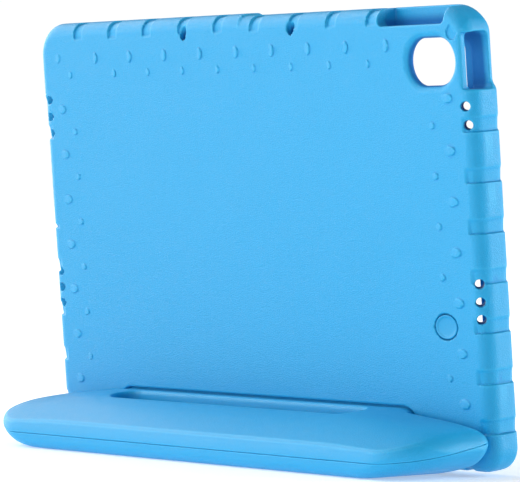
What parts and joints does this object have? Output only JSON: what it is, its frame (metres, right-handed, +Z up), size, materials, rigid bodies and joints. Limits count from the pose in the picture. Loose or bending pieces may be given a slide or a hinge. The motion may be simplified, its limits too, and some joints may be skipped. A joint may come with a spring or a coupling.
{
  "type": "tablet case",
  "caption": "Soft foam case for an 11-inch class tablet, with a D-shaped foam handle hinged at the lower back that folds out as a stand.",
  "frame": {"origin": "centre of the footprint box, on the surface that the part stands on", "axes": "+X to the right seen from behind the case, +Z up, -Y out of the back of the case towards the handle"},
  "size_m": [0.286, 0.0622, 0.1889],
  "materials": {
    "foam": "fine leather-like grain on moulded foam",
    "handle_foam": "fine leather-like grain on moulded foam",
    "plug": "smooth moulded foam",
    "rod": "drawn rod",
    "socket": "matt moulded plastic"
  },
  "bodies": {
    "case": {"shell": "foam", "oval_plug": "plug", "hinge_socket_left": "socket", "hinge_socket_right": "socket"},
    "handle": {"handle_upper_half": "handle_foam", "handle_lower_half": "handle_foam", "hinge_rod": "rod"}
  },
  "joints": [
    {"name": "handle_hinge", "type": "hinge", "parent": "case", "child": "handle", "pos_m": [0, 0.02092, 0.006], "axis": [1, 0, 0], "range_deg": [0, 90]}
  ]
}
